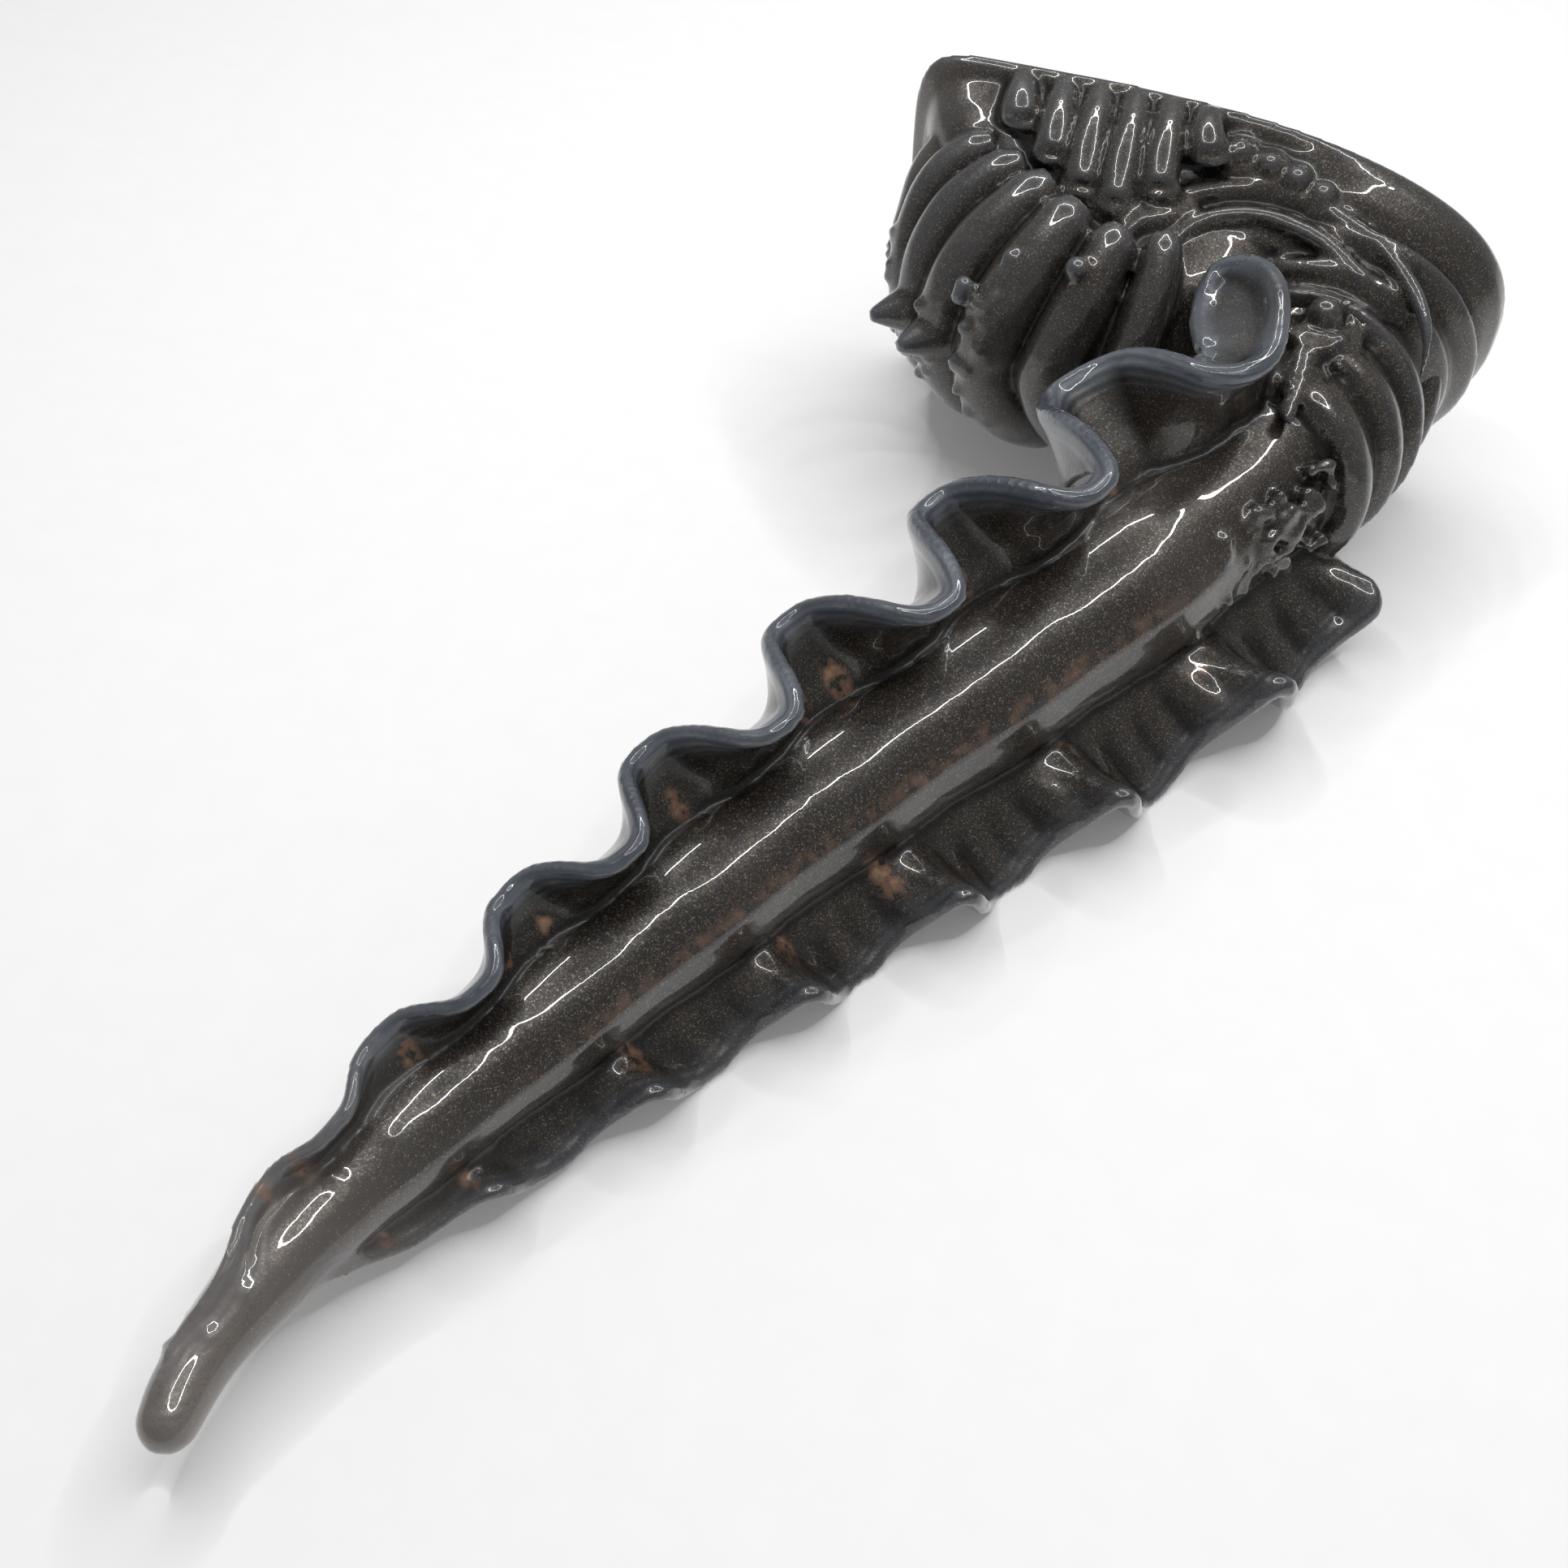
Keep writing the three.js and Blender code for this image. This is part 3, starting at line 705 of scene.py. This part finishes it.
def rubber():
    """The attributes that it reads, each from 0 to 1: how thin the rubber is with a painted highlight on
    crests, the lip, painted copper reflections, painted shade in grooves, and how pale it is.
    """
    f = Finish("glitter_silicone")
    where = f.node("ShaderNodeTexCoord", {}, {}).outputs["Object"]
    thin, lip, pocket, groove, pale = map(f.attribute, ("thin", "lip", "pocket", "groove", "pale"))
    cloud = f.noise(where, 70.0, 4.0)
    swirl = f.noise(where, 22.0, 3.0, Distortion=1.2)

    # body colour, with milky rims that are streaked along their length, and the milky colour on crests as a
    # painted highlight
    streak = f.value("ShaderNodeMath", {"operation": "SINE"}, {0: lip * 48.0 + cloud * 9.0})
    milky = f.blend(streak * 0.24 + 0.3, f.colours(cloud, MILK), MILK_STREAK)
    colour = f.blend(thin, f.colours(swirl, PIGMENT), milky)

    # glitter: one flake in three shows, in four colours
    flakes = f.node("ShaderNodeTexVoronoi", {}, {"Vector": where, "Scale": FLAKES_PER_METRE, "Randomness": 1.0})
    parts = f.node("ShaderNodeSeparateColor", {}, {"Color": flakes.outputs["Color"]})
    hue = f.colours(parts.outputs[1], ((0.0, GOLD), (0.5, ROSE), (0.72, GREEN), (0.88, SILVER)), "CONSTANT")
    speck = (Value(f, parts.outputs[0]) > 0.7) * (1.0 - thin * 0.8)
    colour = f.blend(speck * 0.6, colour, hue)
    # painted shade: grooves are blended towards black
    colour = f.blend(groove * 0.85, colour, GROOVE_SHADE_BLACK)

    # painted copper reflections in the folds, and paler rubber at the tip and the foot's corner
    brushed = f.noise(where, 420.0, 3.0)
    copper_glint_mask = pocket * (brushed > 0.47)
    colour = f.blend(copper_glint_mask * 0.85, colour, f.colours(brushed, COPPER_GLINT))
    colour = f.blend(pale * (0.5 + cloud * 0.5), colour, PALE_TAN)

    f.link(f.shader.inputs["Base Color"], colour)
    f.link(f.shader.inputs["Metallic"], speck * 0.55 * (1.0 - groove) + copper_glint_mask * 0.4)
    f.link(f.shader.inputs["Roughness"], 0.26 + cloud * 0.16)
    f.link(f.shader.inputs["IOR"], 1.42)
    # the coat thins in the grooves, along with their painted shade
    f.link(f.shader.inputs["Coat Weight"], 1.0 - groove * 0.85)
    f.link(f.shader.inputs["Coat Roughness"], 0.035)
    f.link(f.shader.inputs["Coat IOR"], 1.45)
    dimples = f.noise(where, 260.0, 3.0, Roughness=0.6)
    height = dimples + streak * thin * 0.35
    bump = f.node("ShaderNodeBump", {}, {"Strength": 0.35, "Distance": 0.0004, "Height": height})
    f.link(f.shader.inputs["Normal"], bump.outputs[0])
    return f.material


# Skin: shallow unevenness all over, and the amounts that the rubber's colours follow, kept as
# attributes of the two castings.
def paint(piece, name, amounts):
    attribute = piece.data.attributes.new(name, "FLOAT", "POINT")
    attribute.data.foreach_set("value", np.clip(amounts, 0, 1).astype(np.float32))


def in_millimetres(piece):
    co = np.empty(len(piece.data.vertices) * 3)
    piece.data.vertices.foreach_get("co", co)
    return co.reshape(-1, 3) * 1000 - ROOT


def tree_of(points):
    tree = kdtree.KDTree(len(points))
    for i, p in enumerate(points):
        tree.insert(p, i)
    tree.balance()
    return tree


def wobble(piece, scale, amount, shift=0.0):
    """Presses slow, shallow unevenness into the skin, as a hand-smoothed master has."""
    co = np.array([v.co for v in piece.data.vertices])
    out = np.array([v.normal for v in piece.data.vertices])
    rough = np.array([noise.noise(Vector(p * scale + shift)) for p in co])
    co += out * (rough * amount / 1000)[:, None]
    co[:, 2] = np.maximum(co[:, 2], 0.00005)
    piece.data.vertices.foreach_set("co", co.ravel())
    piece.data.update()


def crests(piece, rounds, gain):
    """How far each place on the skin stands proud of its surroundings, from -1 in grooves to 1."""
    count = len(piece.data.vertices)
    pairs = np.empty(len(piece.data.edges) * 2, dtype=np.int64)
    piece.data.edges.foreach_get("vertices", pairs)
    one, two = pairs.reshape(-1, 2).T
    share = np.bincount(one, minlength=count) + np.bincount(two, minlength=count)
    spread = lambda v: (np.bincount(one, v[two], count) + np.bincount(two, v[one], count)) / share
    co = in_millimetres(piece)
    out = np.array([v.normal for v in piece.data.vertices])
    calm = co.copy()
    for _ in range(rounds):
        calm = np.stack([spread(calm[:, i]) for i in range(3)], 1)
    return np.clip(((co - calm) * out).sum(axis=1) * gain, -1, 1)


for piece in (tentacle, base):
    wobble(piece, 45, 0.14)
    wobble(piece, 230, 0.05, 40.0)

# rims and crests: the fins' rims and the scroll's face are milky, and whatever stands proud gets the same milky
# colour as a painted highlight
skin = in_millimetres(tentacle)
rims = tree_of(np.concatenate([
    upper_sheet(np.arange(UPPER_FROM, UPPER_TO, 0.5), np.ones(1)),
    lower_sheet(np.arange(LOWER_FROM, LOWER_TO, 0.5), np.ones(1)),
]))
to_rim = np.array([rims.find(p)[2] for p in skin])
middle = tree_of(LINE)
near = np.array([middle.find(p)[1] for p in skin])
s_skin = RUN[near]
face_centre = around(*SCROLL[:11].mean(axis=0)[:, None])[0]
to_face = np.linalg.norm(skin - face_centre, axis=1)
rim_size = mix(1.0, 0.6, np.clip(s_skin / LENGTH, 0, 1))
upper_side = ramp(skin[:, 2] - np.interp(s_skin, RUN, LINE[:, 2]), -3, 3)
lip = (1 - ramp(to_rim, 2.4 * rim_size, 8.0 * rim_size)) * mix(0.5, 1, upper_side)
lip = lip * (0.55 + 0.45 * ramp(to_face, 5, 10))
face = 0.28 * (1 - ramp(to_face, 7, 10))
proud = crests(tentacle, 14, 1.8)
paint(tentacle, "thin", np.maximum.reduce([lip, face, 0.3 * proud]))
# painted shade: the deeper a place sinks in, the darker it is painted
paint(tentacle, "groove", -1.6 * proud)
paint(tentacle, "lip", to_rim / 10 * (to_face > 10))

# pale: the tip, and a smooth patch of the neck
to_patch = np.linalg.norm(skin - around(7, 98, neck_radius(7)), axis=1)
paint(tentacle, "pale", np.maximum(0.85 * ramp(s_skin, 185, 245), 0.5 * (1 - ramp(to_patch, 5, 12))))

# copper glints: painted copper reflections where the fins' folds meet the arm, and along the arm's ridge
glint_spots = []
for s in (66, 97, 126, 153, 178, 200, 217):
    size = mix(1.0, 0.6, s / LENGTH)
    out = arm_radius(s) + mix(4.5, 2, s / LENGTH)
    for turn in (122, 118, -34):
        centre = around(s + chance.uniform(-5, 5), turn, out)
        glint_spots.append((centre, size * chance.uniform(1.6, 2.8)))
amount = np.zeros(len(skin))
for centre, size in glint_spots:
    away = skin - centre
    run = np.abs(np.einsum("ij,ij->i", away, ALONG[near]))
    across = np.sqrt(np.maximum((away**2).sum(axis=1) - run**2, 0))
    amount = np.maximum(amount, 1 - ramp(np.hypot(run, across / 2.2), 0.4 * size, size))
off = skin - LINE[near]
up, side = (np.einsum("ij,ij->i", off, way[near]) for way in (UP, SIDE))
ridge = np.exp(-((np.degrees(np.arctan2(up, side)) - 30) / 6.0) ** 2) * (np.linalg.norm(off, axis=1) < 16)
ridge = ridge * ramp(s_skin, 60, 90) * (1 - ramp(s_skin, 170, 200))
paint(tentacle, "pocket", np.maximum(amount, 0.3 * ridge))

# the base is milkier and paler towards its left end
base_skin = in_millimetres(base)
left_of = -base_skin[:, 0]
proud = crests(base, 14, 1.3)
# painted shade in the base's grooves
paint(base, "groove", -2.2 * proud)
proud = np.maximum(proud, 0)
# painted highlight on the base's crests, and milkier towards its left end
paint(base, "thin", 0.25 * ramp(left_of, 40, 84) * (0.3 + proud) + 0.55 * proud)
paint(base, "pale", 0.4 * ramp(left_of, 68, 82) * ramp(base_skin[:, 1], -22, -6))
finish = rubber()
for piece in (tentacle, base):
    piece.data.materials.clear()
    piece.data.materials.append(finish)

# Table: a plain white sheet under the casting. It glows a little, as paper does that is lit from
# all round.
floor_form = bmesh.new()
bmesh.ops.create_grid(floor_form, x_segments=1, y_segments=1, size=3)
floor_mesh = bpy.data.meshes.new("table")
floor_form.to_mesh(floor_mesh)
floor_form.free()
floor = bpy.data.objects.new("table", floor_mesh)
bpy.context.scene.collection.objects.link(floor)
white = Finish("white_sheet")
grain = white.value("ShaderNodeTexNoise", {}, {"Scale": 900.0, "Detail": 2.0}, 0)
white.link(white.shader.inputs["Base Color"], white.blend(grain, (0.86, 0.86, 0.86, 1), (0.9, 0.9, 0.9, 1)))
white.shader.inputs["Roughness"].default_value = 0.7
white.shader.inputs["Emission Color"].default_value = (1, 1, 1, 1)
white.shader.inputs["Emission Strength"].default_value = 0.11
floor.data.materials.append(white.material)

# Light: a ring lamp hung high above the casting and tilted towards its tip, in a white room. It
# gives the narrow loops of light on the wet-looking rubber.
RING_LAMPS, RING_RADIUS, RING_WIDTH = 20, 0.23, 0.012
ring_centre = Vector(placed([-30.0, 20.0, 470.0]))
aim = (Vector(placed([-40.0, -90.0, 20.0])) - ring_centre).normalized()
turn = aim.to_track_quat("-Z", "Y")
for k in range(RING_LAMPS):
    angle = 2 * math.pi * k / RING_LAMPS
    lamp = bpy.data.lights.new("ring_lamp", "AREA")
    lamp.shape = "RECTANGLE"
    lamp.size = 2 * RING_RADIUS * math.tan(math.pi / RING_LAMPS)
    lamp.size_y = RING_WIDTH
    lamp.energy = 0.13
    spot = bpy.data.objects.new("ring_lamp", lamp)
    spoke = Vector((math.cos(angle), math.sin(angle), 0))
    spot.location = ring_centre + turn @ (spoke * RING_RADIUS)
    spot.rotation_euler = (turn @ Quaternion((0, 0, 1), angle + math.pi / 2)).to_euler()
    bpy.context.scene.collection.objects.link(spot)

world = bpy.data.worlds.new("room")
world.use_nodes = True
world.node_tree.nodes["Background"].inputs["Color"].default_value = (1, 1, 1, 1)
world.node_tree.nodes["Background"].inputs["Strength"].default_value = 0.3
bpy.context.scene.world = world
bpy.context.scene.view_settings.view_transform = "Standard"
